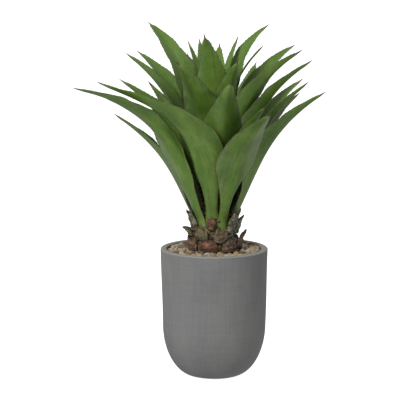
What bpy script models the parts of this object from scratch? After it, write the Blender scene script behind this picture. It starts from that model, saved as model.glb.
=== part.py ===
"""Potted agave: a rosette of channelled leaves on a short trunk, in a round-bottomed fibre-clay planter.

Run with: blender --background --python part.py
Metres, +Z up. The origin is the centre of the planter's flat base, and the front is -Y.
"""

import math
import random
from collections import namedtuple

import bmesh
import bpy
from mathutils import Matrix, Vector

CLEARANCE = 0.0003            # gap between two pieces that touch
TURN_STEPS = 36               # segments round the planter and what it holds
SLIM_STEPS = 12               # segments round a thin turned piece
BOWL_POINTS = 7               # stretches of the bowl's outline

# ---- planter: a tapering wall over a round bowl with a flat base
PLANTER_HEIGHT = 0.300
RIM_RADIUS = 0.125
WAIST_RADIUS = 0.1205         # where the wall meets the bowl
BOWL_HEIGHT = 0.120
BASE_RADIUS = 0.050
WALL = 0.015
FLOOR = 0.018
LIP_ROUNDING = 0.003
DRAIN_HOLES = 3
DRAIN_RADIUS = 0.006
DRAIN_CIRCLE = 0.026          # from the axis to the middle of a drain hole
DRAIN_DRILL_DEPTH = 2 * FLOOR # long enough to pass right through the floor

# ---- potting mix and gravel
GRAVEL_DROP = 0.008           # from the rim down to the gravel
GRAVEL_DEPTH = 0.024
PEBBLE_RELIEF = 0.0025        # how far the gravel's top goes up and down
PEBBLE_SEED = 7
WELD = 0.00005                # points nearer than this become one

# ---- trunk
ROOT_DEPTH = 0.075            # below the gravel's top
ROOT_RADIUS = 0.040
ROOT_ROUNDING = ROOT_RADIUS / 4
TRUNK_RADIUS = 0.055          # at the gravel
CROWN_RISE = 0.062            # from the rim up to the lowest leaves
CROWN_RADIUS = 0.040          # at the lowest leaves
CORE_HEIGHT = 0.125           # from the lowest leaves up to the growing point
CORE_TIP_RADIUS = 0.008
CORE_DOME = CORE_TIP_RADIUS / 2
MIDWAY = 0.5

# ---- leaves
FOOT_GAP = 0.0006             # between a leaf's foot and the trunk
FOOT_WIDTH_LOW = 0.775 * CROWN_RADIUS     # at the lowest leaves
FOOT_WIDTH_HIGH = 0.015       # at the growing point
FOOT_THICKNESS = 0.0065
BLADE_THICKNESS = 0.0042
SPINE_WIDTH = 0.0022
FOOT_LEAN_LOW = math.radians(25)
FOOT_LEAN_HIGH = math.radians(2)
LOW_HANDLE = 0.45             # share of the chord that the leaf keeps its foot's direction for
HIGH_HANDLE = 0.42
CHANNEL_DEPTH = 0.20          # share of the blade's width
WIDEST_AT = 0.42              # share of the leaf's length
NECK_END = 0.05               # share of the leaf's length
TIP_TAPER = 1.45              # power of the taper beyond the widest place
STATIONS = (0, 0.07, 0.16, 0.26, 0.36, 0.47, 0.58, 0.69, 0.80, 0.90, 0.97)

Leaf = namedtuple("Leaf", "name azimuth sweep rise reach height tip_lean width roll")

# azimuth:  degrees from the front, where the foot stands; + goes to the right.
# sweep:    degrees that the tip goes on round from the foot.
# rise:     mm from the crown's lowest leaves up to this foot.
# reach:    mm from the axis out to the tip.
# height:   mm from the crown's lowest leaves up to the tip.
# tip_lean: degrees from upright that the leaf points at its tip.
# width:    mm across the blade's widest place.
# roll:     degrees that the blade turns about its own length.
LEAVES = (
    Leaf("leaf_01", -49, -15, 3, 350, 324, 76, 110, 2),
    Leaf("leaf_02", 28, -3, 2, 285, 278, 62, 102, 0),
    Leaf("leaf_03", 71, 1, 0, 264, 310, 56, 92, -14),
    Leaf("leaf_04", -96, 7, 0, 232, 252, 54, 80, 6),
    Leaf("leaf_05", 124, 4, 2, 262, 285, 60, 80, 0),
    Leaf("leaf_06", 172, 0, 0, 280, 300, 62, 80, 0),
    Leaf("leaf_07", -140, -2, 2, 254, 303, 60, 78, 0),

    Leaf("leaf_08", -8, -62, 17, 282, 333, 62, 104, 0),
    Leaf("leaf_09", 34, 1, 18, 200, 288, 50, 62, 0),
    Leaf("leaf_10", 79, 0, 17, 219, 329, 50, 80, -12),
    Leaf("leaf_11", 123, 0, 18, 254, 321, 58, 76, 8),
    Leaf("leaf_12", 169, 0, 17, 265, 340, 60, 74, 0),
    Leaf("leaf_13", -148, 0, 18, 262, 330, 60, 70, 0),
    Leaf("leaf_14", -99, 4, 17, 262, 290, 66, 82, -4),

    Leaf("leaf_15", 8, 2, 34, 205, 346, 40, 110, 0),
    Leaf("leaf_16", 68, 14, 34, 226, 377, 56, 86, -14),
    Leaf("leaf_17", 146, 6, 35, 220, 357, 52, 72, 0),
    Leaf("leaf_18", -164, 0, 34, 235, 375, 54, 68, 0),
    Leaf("leaf_19", -120, 4, 35, 250, 322, 58, 76, -10),
    Leaf("leaf_20", -62, -6, 34, 164, 333, 42, 58, 0),

    Leaf("leaf_21", 56, 20, 51, 206, 402, 56, 96, -16),
    Leaf("leaf_22", 117, 7, 51, 233, 401, 67, 78, 14),
    Leaf("leaf_23", 176, 0, 51, 205, 400, 50, 76, 0),
    Leaf("leaf_24", -138, 4, 51, 258, 384, 60, 78, -8),
    Leaf("leaf_25", -91, -20, 51, 222, 385, 61, 84, -8),

    Leaf("leaf_26", -18, -10, 63, 186, 386, 46, 108, 0),

    Leaf("leaf_27", 18, 8, 74, 122, 387, 32, 88, 0),
    Leaf("leaf_28", 114, 12, 74, 160, 451, 64, 66, 12),
    Leaf("leaf_29", -168, -2, 74, 202, 411, 50, 64, 0),
    Leaf("leaf_30", -114, -20, 74, 218, 453, 66, 88, -14),

    Leaf("leaf_31", 72, 24, 88, 114, 407, 48, 24, 0),
    Leaf("leaf_32", -144, 12, 89, 84, 417, 24, 50, 0),

    Leaf("leaf_33", -4, -12, 104, 92, 442, 28, 100, 0),
    Leaf("leaf_34", 124, 5, 104, 72, 428, 27, 48, 0),
    Leaf("leaf_35", -152, -22, 106, 68, 412, 17, 22, 0),
)

Stub = namedtuple("Stub", "name azimuth rise length width flare")

# The stumps of old leaves on the trunk.
# azimuth as above; rise: mm from the rim to the foot; length and width in mm;
# flare: degrees that the stump leans out.
STUBS = (
    Stub("leaf_stub_01", -68, 46, 52, 30, 26),
    Stub("leaf_stub_02", -95, 30, 30, 28, 58),
    Stub("leaf_stub_03", -8, 52, 36, 22, 14),
    Stub("leaf_stub_04", 56, 40, 50, 34, 22),
    Stub("leaf_stub_05", 92, 36, 42, 32, 26),
    Stub("leaf_stub_06", 84, 4, 44, 36, 24),
    Stub("leaf_stub_07", -36, 26, 36, 34, 10),
    Stub("leaf_stub_08", 16, 22, 36, 34, 10),
    Stub("leaf_stub_09", -62, 1, 34, 38, 14),
    Stub("leaf_stub_10", -12, 0, 34, 38, 12),
    Stub("leaf_stub_11", 36, 0, 34, 38, 12),
    Stub("leaf_stub_12", 134, 30, 46, 32, 24),
    Stub("leaf_stub_13", -178, 34, 46, 32, 22),
    Stub("leaf_stub_14", -136, 28, 44, 32, 24),
    Stub("leaf_stub_15", 134, 0, 34, 36, 16),
    Stub("leaf_stub_16", -178, 0, 34, 36, 16),
    Stub("leaf_stub_17", -118, 0, 34, 36, 16),
)
STUB_THICKNESS = 0.0085
STUB_FOOT_LEAN = 0.4          # share of its flare that a stump starts with
STUB_TIP_LEAN = 1.5           # share of its flare that a stump ends with
STUB_STATIONS = (0, 0.25, 0.5, 0.75, 0.93)
STUB_WIDTHS = (1.0, 1.0, 0.85, 0.6, 0.22)
STUB_THICKNESSES = (1.0, 1.0, 0.8, 0.55, 0.35)

# ---- rolled young leaves
SPEAR_LENGTH = 0.230
SPEAR_RADIUS = 0.0085
SPEAR_GIRTHS = ((0.92, 0.18), (0.75, 0.55), (0.5, 0.9), (0.25, 1.0), (0.0, 0.7))  # share of length, of radius


# ---------------------------------------------------------------- small helpers

def mix(low, high, share):
    return low + (high - low) * share


def smooth(share):
    """0 to 1 with a soft start and end."""
    share = min(max(share, 0.0), 1.0)
    return share * share * (3 - 2 * share)


def metres(millimetres):
    return millimetres / 1000


def around(azimuth, radius, height):
    """A point at an azimuth in radians from the front, as a vector."""
    return Vector((radius * math.sin(azimuth), -radius * math.cos(azimuth), height))


def make_material(name, colour, roughness, metallic=0.0):
    material = bpy.data.materials.new(name)
    material.use_nodes = True
    shader = material.node_tree.nodes["Principled BSDF"]
    shader.inputs["Base Color"].default_value = (*colour, 1.0)
    shader.inputs["Roughness"].default_value = roughness
    shader.inputs["Metallic"].default_value = metallic
    material.diffuse_color = (*colour, 1.0)
    return material


def add_object(name, mesh, material, collection):
    obj = bpy.data.objects.new(name, mesh)
    mesh.materials.append(material)
    collection.objects.link(obj)
    return obj


def turned(name, profile, material, collection, steps=TURN_STEPS):
    """A solid of revolution from (radius, height) points that run down its outer side, axis to axis."""
    mesh = bpy.data.meshes.new(name)
    edges = [(i, i + 1) for i in range(len(profile) - 1)]
    mesh.from_pydata([(radius, 0, height) for radius, height in profile], edges, [])
    obj = add_object(name, mesh, material, collection)
    turn = obj.modifiers.new("turn", "SCREW")
    turn.steps = steps
    turn.render_steps = steps
    turn.use_merge_vertices = True
    turn.merge_threshold = 0.0001
    return obj


def lofted(name, rings, tip, material, collection):
    """A closed solid through rings of points, with a flat foot and a pointed tip."""
    sketch = bmesh.new()
    rows = [[sketch.verts.new(point) for point in ring] for ring in rings]
    peak = sketch.verts.new(tip)
    for row, beyond in zip(rows, rows[1:]):
        for i in range(len(row)):
            j = (i + 1) % len(row)
            sketch.faces.new((row[i], row[j], beyond[j], beyond[i]))
    last = rows[-1]
    for i in range(len(last)):
        sketch.faces.new((last[i], last[(i + 1) % len(last)], peak))
    sketch.faces.new(rows[0])
    bmesh.ops.recalc_face_normals(sketch, faces=sketch.faces)
    mesh = bpy.data.meshes.new(name)
    sketch.to_mesh(mesh)
    sketch.free()
    return add_object(name, mesh, material, collection)


# ---------------------------------------------------------------- planter

def wall_radius(height):
    """Outer radius of the planter at a height: a straight taper over an elliptical bowl."""
    if height >= BOWL_HEIGHT:
        share = (height - BOWL_HEIGHT) / (PLANTER_HEIGHT - BOWL_HEIGHT)
        return mix(WAIST_RADIUS, RIM_RADIUS, share)
    drop = (BOWL_HEIGHT - height) / BOWL_HEIGHT
    return mix(BASE_RADIUS, WAIST_RADIUS, math.sqrt(1 - drop * drop))


def bore_radius(height):
    """Inner radius of the planter at a height above its floor."""
    if height >= BOWL_HEIGHT:
        return wall_radius(height) - WALL
    drop = min((BOWL_HEIGHT - height) / (BOWL_HEIGHT - FLOOR), 1.0)
    return mix(BASE_RADIUS, WAIST_RADIUS, math.sqrt(1 - drop * drop)) - WALL


def bowl_heights(bottom):
    """Heights from the bowl's bottom up to its top, closer together where it turns under."""
    return [mix(BOWL_HEIGHT, bottom, math.sin(math.radians(90 - 90 * i / BOWL_POINTS)))
            for i in range(BOWL_POINTS + 1)]


def planter(collection, cutters):
    inside = [(0.0, FLOOR)] + [(bore_radius(z), z) for z in bowl_heights(FLOOR)]
    outside = [(wall_radius(z), z) for z in reversed(bowl_heights(0.0))] + [(0.0, 0.0)]
    lip = []
    inner_corner = RIM_RADIUS - WALL + LIP_ROUNDING
    outer_corner = RIM_RADIUS - LIP_ROUNDING
    for centre, turns in ((inner_corner, (180, 135, 90)), (outer_corner, (90, 45, 0))):
        for turn in turns:
            angle = math.radians(turn)
            lip.append((centre + LIP_ROUNDING * math.cos(angle),
                        PLANTER_HEIGHT - LIP_ROUNDING + LIP_ROUNDING * math.sin(angle)))
    clay = make_material("fibre_clay", (0.19, 0.19, 0.185), 0.8)
    shell = turned("planter", inside + lip + outside, clay, collection)
    for i in range(DRAIN_HOLES):
        place = around(math.tau * i / DRAIN_HOLES, DRAIN_CIRCLE, FLOOR / 2)
        bpy.ops.mesh.primitive_cylinder_add(vertices=SLIM_STEPS, radius=DRAIN_RADIUS,
                                            depth=DRAIN_DRILL_DEPTH, location=place)
        drill = bpy.context.active_object
        drill.name = f"drain_drill_{i + 1}"
        for owner in list(drill.users_collection):
            owner.objects.unlink(drill)
        cutters.objects.link(drill)
        drill.hide_render = True
        drill.display_type = "WIRE"
        cut = shell.modifiers.new(f"drain_{i + 1}", "BOOLEAN")
        cut.object = drill
    return shell


# ---------------------------------------------------------------- trunk, soil and gravel

GRAVEL_TOP = PLANTER_HEIGHT - GRAVEL_DROP
GRAVEL_BOTTOM = GRAVEL_TOP - GRAVEL_DEPTH
SOIL_TOP = GRAVEL_BOTTOM - CLEARANCE
ROOT_BOTTOM = GRAVEL_TOP - ROOT_DEPTH
CROWN = PLANTER_HEIGHT + CROWN_RISE
CORE_TOP = CROWN + CORE_HEIGHT


def trunk_radius(height):
    """Radius of the trunk at a height, from its root to its growing point."""
    keys = ((ROOT_BOTTOM, ROOT_RADIUS), (GRAVEL_TOP, TRUNK_RADIUS), (CROWN, CROWN_RADIUS),
            (CORE_TOP, CORE_TIP_RADIUS))
    for (low, low_radius), (high, high_radius) in zip(keys, keys[1:]):
        if height <= high:
            return mix(low_radius, high_radius, (height - low) / (high - low))
    return CORE_TIP_RADIUS


def trunk(collection):
    heights = (CORE_TOP, mix(CORE_TOP, CROWN, MIDWAY), CROWN, mix(CROWN, GRAVEL_TOP, MIDWAY), GRAVEL_TOP,
               GRAVEL_BOTTOM, ROOT_BOTTOM + ROOT_ROUNDING)
    profile = [(0.0, CORE_TOP + CORE_DOME)]
    profile += [(trunk_radius(z), z) for z in heights]
    profile += [(ROOT_RADIUS - ROOT_ROUNDING, ROOT_BOTTOM), (0.0, ROOT_BOTTOM)]
    bark = make_material("trunk_bark", (0.07, 0.045, 0.03), 0.85)
    return turned("trunk", profile, bark, collection)


def soil(collection):
    """The mix fills the planter below the gravel, with a pit that the root crown stands in."""
    pit_bottom = ROOT_BOTTOM - CLEARANCE
    pit = [(0.0, pit_bottom), (ROOT_RADIUS - ROOT_ROUNDING, pit_bottom)]
    pit += [(trunk_radius(z) + CLEARANCE, z) for z in (ROOT_BOTTOM + ROOT_ROUNDING, SOIL_TOP)]
    bottom = FLOOR + CLEARANCE
    side = [(bore_radius(z) - CLEARANCE, max(z, bottom)) for z in reversed(bowl_heights(FLOOR))]
    profile = pit + [(bore_radius(SOIL_TOP) - CLEARANCE, SOIL_TOP)] + side + [(0.0, bottom)]
    mix_material = make_material("potting_mix", (0.035, 0.024, 0.016), 0.95)
    return turned("soil", profile, mix_material, collection)


def gravel_bed(collection):
    """A ring of gravel between the trunk and the planter's wall, with an uneven top."""
    inner_top = trunk_radius(GRAVEL_TOP) + CLEARANCE
    inner_bottom = trunk_radius(GRAVEL_BOTTOM) + CLEARANCE
    outer_top = bore_radius(GRAVEL_TOP) - CLEARANCE
    outer_bottom = bore_radius(GRAVEL_BOTTOM) - CLEARANCE
    tops = [mix(inner_top, outer_top, share) for share in (0, 0.25, 0.5, 0.75, 1)]
    outline = [(inner_bottom, GRAVEL_BOTTOM)] + [(radius, GRAVEL_TOP) for radius in tops]
    outline += [(outer_bottom, GRAVEL_BOTTOM)]
    sketch = bmesh.new()
    corners = [sketch.verts.new((radius, 0, height)) for radius, height in outline]
    edges = [sketch.edges.new((corners[i], corners[(i + 1) % len(corners)])) for i in range(len(corners))]
    bmesh.ops.spin(sketch, geom=corners + edges, cent=(0, 0, 0), axis=(0, 0, 1), angle=math.tau,
                   steps=TURN_STEPS, use_merge=True)
    bmesh.ops.remove_doubles(sketch, verts=sketch.verts, dist=WELD)
    bmesh.ops.recalc_face_normals(sketch, faces=sketch.faces)
    relief = random.Random(PEBBLE_SEED)
    for vertex in sketch.verts:
        radius = math.hypot(vertex.co.x, vertex.co.y)
        if vertex.co.z > GRAVEL_TOP - CLEARANCE and inner_top + CLEARANCE < radius < outer_top - CLEARANCE:
            vertex.co.z += relief.uniform(-PEBBLE_RELIEF, PEBBLE_RELIEF)
    mesh = bpy.data.meshes.new("gravel_bed")
    sketch.to_mesh(mesh)
    sketch.free()
    stone = make_material("river_gravel", (0.23, 0.19, 0.13), 0.8)
    return add_object("gravel_bed", mesh, stone, collection)


# ---------------------------------------------------------------- leaves

def leaf_frames(foot, tip, foot_lean, tip_lean, azimuth, sweep, roll, stations):
    """Centre, across and inward vectors at each station of a leaf that leans out from foot to tip.

    foot and tip are (radius, height), and the angles are in radians."""
    foot = Vector(foot)
    tip = Vector(tip)
    chord = tip - foot
    bend_low = foot + LOW_HANDLE * chord.length * Vector((math.sin(foot_lean), math.cos(foot_lean)))
    bend_high = tip - HIGH_HANDLE * chord.length * Vector((math.sin(tip_lean), math.cos(tip_lean)))

    def middle(t):
        s = 1 - t
        place = s**3 * foot + 3 * s * s * t * bend_low + 3 * s * t * t * bend_high + t**3 * tip
        return around(azimuth + sweep * t * t, place.x, place.y)

    step = 0.001
    frames = []
    for t in stations:
        along = (middle(t + step) - middle(t - step)).normalized()
        side = around(azimuth + sweep * t * t + math.pi / 2, 1, 0)
        inward = along.cross(side).normalized()
        across = inward.cross(along).normalized()
        turn = Matrix.Rotation(roll * smooth(t / WIDEST_AT), 3, along)
        frames.append((middle(t), turn @ across, turn @ inward))
    return frames


def section(frame, width, thickness, channel):
    """Ring of points of a channelled section: its edges turn inward and come to a sharp margin."""
    centre, across, inward = frame
    ring = []
    for share, face in ((-1, 0), (-0.5, -1), (0, -1), (0.5, -1), (1, 0), (0.5, 1), (0, 1), (-0.5, 1)):
        body = thickness / 2 * (1 - share * share) * face
        ring.append(centre + across * (share * width / 2) + inward * (channel * share * share + body))
    return ring


def blade_width(width, foot_width, t):
    """Width along a leaf: a narrow neck, a broad middle, then a long taper to the spine."""
    if t < WIDEST_AT:
        return mix(foot_width, width, smooth((t - NECK_END) / (WIDEST_AT - NECK_END)))
    beyond = (t - WIDEST_AT) / (1 - WIDEST_AT)
    return mix(SPINE_WIDTH, width, 1 - beyond ** TIP_TAPER)


def build_leaf(leaf, material, collection):
    foot_height = CROWN + metres(leaf.rise)
    climb = metres(leaf.rise) / CORE_HEIGHT
    foot_width = mix(FOOT_WIDTH_LOW, FOOT_WIDTH_HIGH, climb)
    foot_lean = mix(FOOT_LEAN_LOW, FOOT_LEAN_HIGH, climb)
    foot_radius = trunk_radius(foot_height) + FOOT_GAP + FOOT_THICKNESS / 2
    tip_radius = metres(leaf.reach)
    tip_height = CROWN + metres(leaf.height)
    width = metres(leaf.width)
    stations = STATIONS + (1,)
    frames = leaf_frames((foot_radius, foot_height), (tip_radius, tip_height), foot_lean,
                         math.radians(leaf.tip_lean), math.radians(leaf.azimuth),
                         math.radians(leaf.sweep), math.radians(leaf.roll), stations)
    rings = []
    for t, frame in zip(STATIONS, frames):
        across = blade_width(width, foot_width, t)
        opened = smooth(t / WIDEST_AT)
        clasp = foot_width ** 2 / (8 * foot_radius)
        channel = mix(clasp, CHANNEL_DEPTH * across, opened)
        thickness = min(mix(FOOT_THICKNESS, BLADE_THICKNESS, opened), across)
        rings.append(section(frame, across, thickness, channel))
    return lofted(leaf.name, rings, frames[-1][0], material, collection)


def build_stub(stub, material, collection):
    """The stump of an old leaf: broad at the trunk, torn to a blunt point."""
    foot_height = PLANTER_HEIGHT + metres(stub.rise)
    foot_radius = trunk_radius(foot_height) + FOOT_GAP + STUB_THICKNESS / 2
    lean = math.radians(stub.flare)
    length = metres(stub.length)
    tip = (foot_radius + length * math.sin(lean), foot_height + length * math.cos(lean))
    frames = leaf_frames((foot_radius, foot_height), tip, lean * STUB_FOOT_LEAN, lean * STUB_TIP_LEAN,
                         math.radians(stub.azimuth), 0, 0, STUB_STATIONS + (1,))
    rings = []
    for frame, wide, thick in zip(frames, STUB_WIDTHS, STUB_THICKNESSES):
        width = metres(stub.width) * wide
        rings.append(section(frame, width, STUB_THICKNESS * thick, width ** 2 / (8 * foot_radius)))
    return lofted(stub.name, rings, frames[-1][0], material, collection)


def leaf_spear(material, collection):
    """The young leaves still rolled together at the growing point."""
    foot = CORE_TOP + CORE_DOME + CLEARANCE
    tip = foot + SPEAR_LENGTH
    profile = [(0.0, tip)]
    for share, girth in SPEAR_GIRTHS:
        profile.append((SPEAR_RADIUS * girth, mix(foot, tip, share)))
    profile.append((0.0, foot))
    return turned("leaf_spear", profile, material, collection, SLIM_STEPS)


def main():
    for obj in list(bpy.data.objects):
        bpy.data.objects.remove(obj)
    collection = bpy.data.collections.new("potted_agave")
    cutters = bpy.data.collections.new("cutters")
    for group in (collection, cutters):
        bpy.context.scene.collection.children.link(group)
    planter(collection, cutters)
    soil(collection)
    gravel_bed(collection)
    trunk(collection)
    dead = make_material("dry_leaf_base", (0.10, 0.07, 0.045), 0.85)
    for stub in STUBS:
        build_stub(stub, dead, collection)
    green = make_material("agave_leaf", (0.15, 0.24, 0.07), 0.5)
    for leaf in LEAVES:
        build_leaf(leaf, green, collection)
    leaf_spear(green, collection)


main()
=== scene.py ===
"""Potted agave: the finished surfaces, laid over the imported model.

Every leaf, stump and the trunk is rebuilt finely over its own solid: the blades get spines, thorns and
wavy margins, the stumps torn edges, the gravel single stones and the planter its cast clay skin.
"""

import math
import random

import bmesh
import bpy
import numpy as np
from mathutils import Matrix, Vector, noise


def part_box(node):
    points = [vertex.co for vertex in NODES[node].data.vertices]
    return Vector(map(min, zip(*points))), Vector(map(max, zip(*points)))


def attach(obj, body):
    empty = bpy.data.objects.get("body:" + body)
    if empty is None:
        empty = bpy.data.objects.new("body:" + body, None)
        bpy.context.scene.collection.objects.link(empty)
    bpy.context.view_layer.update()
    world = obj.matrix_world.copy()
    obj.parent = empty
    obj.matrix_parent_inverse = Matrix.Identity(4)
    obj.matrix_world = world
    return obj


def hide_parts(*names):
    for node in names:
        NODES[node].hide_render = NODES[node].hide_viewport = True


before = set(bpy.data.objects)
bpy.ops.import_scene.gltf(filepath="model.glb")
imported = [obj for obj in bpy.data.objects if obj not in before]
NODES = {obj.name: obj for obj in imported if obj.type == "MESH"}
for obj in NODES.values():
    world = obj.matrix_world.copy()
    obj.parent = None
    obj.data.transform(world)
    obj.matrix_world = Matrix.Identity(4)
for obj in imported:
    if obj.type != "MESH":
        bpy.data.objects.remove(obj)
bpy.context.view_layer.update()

# ---- planter, in metres
PLANTER_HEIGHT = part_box("planter")[1][2]
RIM_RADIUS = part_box("planter")[1][0]
WAIST_RADIUS = RIM_RADIUS * 0.964
BOWL_HEIGHT = PLANTER_HEIGHT * 0.4
BASE_RADIUS = RIM_RADIUS * 0.4
WALL = 0.015
FLOOR = 0.018
LIP_ROUNDING = 0.003
DRAIN_RADIUS = 0.006
DRAIN_CIRCLE = 0.026
PLANTER_STEPS = 192

# ---- gravel
GRAVEL_TOP = PLANTER_HEIGHT - 0.008
GRIT_DEPTH = 0.011            # from the gravel's top down to the grit between the stones
STONE_TILT = 0.35             # usual lean of a stone, in radians
# each layer: stones tried, sizes, spacing in shares of their sizes, height over the top, fineness, light
GRAVEL_LAYERS = ((900, (0.0035, 0.0065), 0.60, -0.0035, 2, 0.30),
                 (420, (0.0070, 0.0110), 0.78, -0.0010, 2, 0.62),
                 (360, (0.0115, 0.0200), 0.80, 0.0026, 3, 1.00))

# ---- trunk
SHREDS = 420                  # torn flakes between the stumps
BASE_RELIEF = 0.0042          # how far a worn leaf base stands off the trunk
STUMP_BULK = 1.5              # thickness of a stump's outer half, in that of its solid
SHRED_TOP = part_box("leaf_08")[0][2] - 0.004

# ---- leaves
BLADE_ROWS = 96
BLADE_SPAN = 13               # points across one face of a blade
SPINE_LENGTH = 0.014
SPINE_RADIUS = 0.0019
TAPER_LENGTH = 0.026          # stretch below the spine where the blade narrows into it
SHEATH_LENGTH = 0.024         # a leaf's foot goes on down the trunk by this much
SHEATH_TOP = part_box("leaf_15")[0][2] - 0.006    # leaves that stand below this have a sheath
THORN_PITCH = 0.0115
THORN_LENGTH = 0.0027
THORN_WIDTH = 0.0028
WAVE_HEIGHT = 0.0022          # of the blade's margins
WAVE_LENGTH = 0.085


# ---------------------------------------------------------------- numbers

def mix(low, high, share):
    return low + (high - low) * share


def smooth(value, low=0.0, high=1.0):
    """0 to 1 with a soft start and end, between low and high."""
    share = np.clip((value - low) / (high - low), 0.0, 1.0)
    return share * share * (3 - 2 * share)


def spline(knots, values, places):
    """A smooth curve through values at the knots, read at the places."""
    slopes = np.gradient(values, knots, axis=0)
    left = np.clip(np.searchsorted(knots, places, side="right") - 1, 0, len(knots) - 2)
    span = (knots[left + 1] - knots[left])[:, None]
    s = (places - knots[left])[:, None] / span
    start, end = values[left], values[left + 1]
    leave, arrive = slopes[left] * span, slopes[left + 1] * span
    return ((2 * s**3 - 3 * s**2 + 1) * start + (s**3 - 2 * s**2 + s) * leave
            + (3 * s**2 - 2 * s**3) * end + (s**3 - s**2) * arrive)


def rough(points, scale, seed, octaves=3):
    """Fractal noise about 0 at each point, of bumps about 1 / scale wide."""
    shift = Vector((seed * 7.31, seed * 3.17, seed * 5.77))
    return np.array([noise.fractal(Vector(point) * scale + shift, 0.9, 2.0, octaves) for point in points])


def colour(red, green, blue):
    """A colour given as it shows on a screen, 0 to 255, as a shader takes it."""
    parts = [value / 255 for value in (red, green, blue)]
    return (*[c / 12.92 if c < 0.04045 else ((c + 0.055) / 1.055) ** 2.4 for c in parts], 1.0)


# ---------------------------------------------------------------- materials

class Wire:
    """A socket that sums and products can be written with."""

    def __init__(self, finish, socket):
        self.finish = finish
        self.socket = socket

    def maths(self, operation, *values):
        return self.finish.node("Math", {"operation": operation}, dict(enumerate(values)))

    def __add__(self, other):
        return self.maths("ADD", self, other)

    def __sub__(self, other):
        return self.maths("SUBTRACT", self, other)

    def __rsub__(self, other):
        return self.maths("SUBTRACT", other, self)

    def __mul__(self, other):
        return self.maths("MULTIPLY", self, other)

    def __abs__(self):
        return self.maths("ABSOLUTE", self)

    __radd__ = __add__
    __rmul__ = __mul__


class Finish:
    """A material, built up from nodes."""

    def __init__(self, name, settings):
        self.material = bpy.data.materials.new(name)
        self.material.use_nodes = True
        self.tree = self.material.node_tree
        self.shader = self.tree.nodes["Principled BSDF"]
        for socket, value in settings.items():
            self.shader.inputs[socket].default_value = value

    def node(self, kind, settings, values, out=0):
        """Adds a node: its settings first, then the values or wires of its sockets."""
        node = self.tree.nodes.new("ShaderNode" + kind)
        for key, value in settings.items():
            if key == "stops":
                set_stops(node.color_ramp, value)
            else:
                setattr(node, key, value)
        for key, value in values.items():
            if isinstance(value, Wire):
                self.tree.links.new(value.socket, node.inputs[key])
            else:
                node.inputs[key].default_value = value
        return Wire(self, node.outputs[out])

    def attribute(self, name, out="Vector"):
        return self.node("Attribute", {"attribute_name": name}, {}, out)

    def split(self, vector):
        """The three parts of a vector."""
        parts = self.node("SeparateXYZ", {}, {0: vector})
        return [Wire(self, socket) for socket in parts.socket.node.outputs]

    def stretch(self, place, x, y, z):
        """A place scaled by a number for each axis."""
        return self.node("VectorMath", {"operation": "MULTIPLY"}, {0: place, 1: (x, y, z)})

    def clouds(self, place, scale, detail=3.0, roughness=0.55, distortion=0.0):
        """Soft noise, 0 to 1."""
        values = {"Vector": place, "Scale": scale, "Detail": detail, "Roughness": roughness,
                  "Distortion": distortion}
        return self.node("TexNoise", {}, values)

    def cells(self, place, scale, feature="F1"):
        """Distance from the nearest of many scattered points."""
        return self.node("TexVoronoi", {"feature": feature}, {"Vector": place, "Scale": scale})

    def between(self, value, low, high):
        """0 below low, 1 above high, and a soft step between them."""
        settings = {"interpolation_type": "SMOOTHSTEP"}
        return self.node("MapRange", settings, {"Value": value, "From Min": low, "From Max": high})

    def ramp(self, value, stops):
        return self.node("ValToRGB", {"stops": stops}, {0: value})

    def blend(self, share, first, second):
        """A colour between two colours."""
        return self.node("Mix", {"data_type": "RGBA"}, {0: share, 6: first, 7: second}, 2)

    def shade(self, base, value):
        """A colour made lighter or darker by a value about 1."""
        grey = self.node("CombineXYZ", {}, {0: value, 1: value, 2: value})
        settings = {"data_type": "RGBA", "blend_type": "MULTIPLY"}
        return self.node("Mix", settings, {0: 1.0, 6: base, 7: grey}, 2)

    def skin(self, base, roughness, height, strength, distance):
        """Joins a colour, a roughness and a relief to the shader."""
        relief = self.node("Bump", {}, {"Strength": strength, "Distance": distance, "Height": height})
        for socket, wire in (("Base Color", base), ("Roughness", roughness), ("Normal", relief)):
            self.tree.links.new(wire.socket, self.shader.inputs[socket])
        return self.material


def set_stops(ramp, stops):
    while len(ramp.elements) < len(stops):
        ramp.elements.new(0.5)
    for element, (position, value) in zip(ramp.elements, stops):
        element.position = position
        element.color = value


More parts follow.
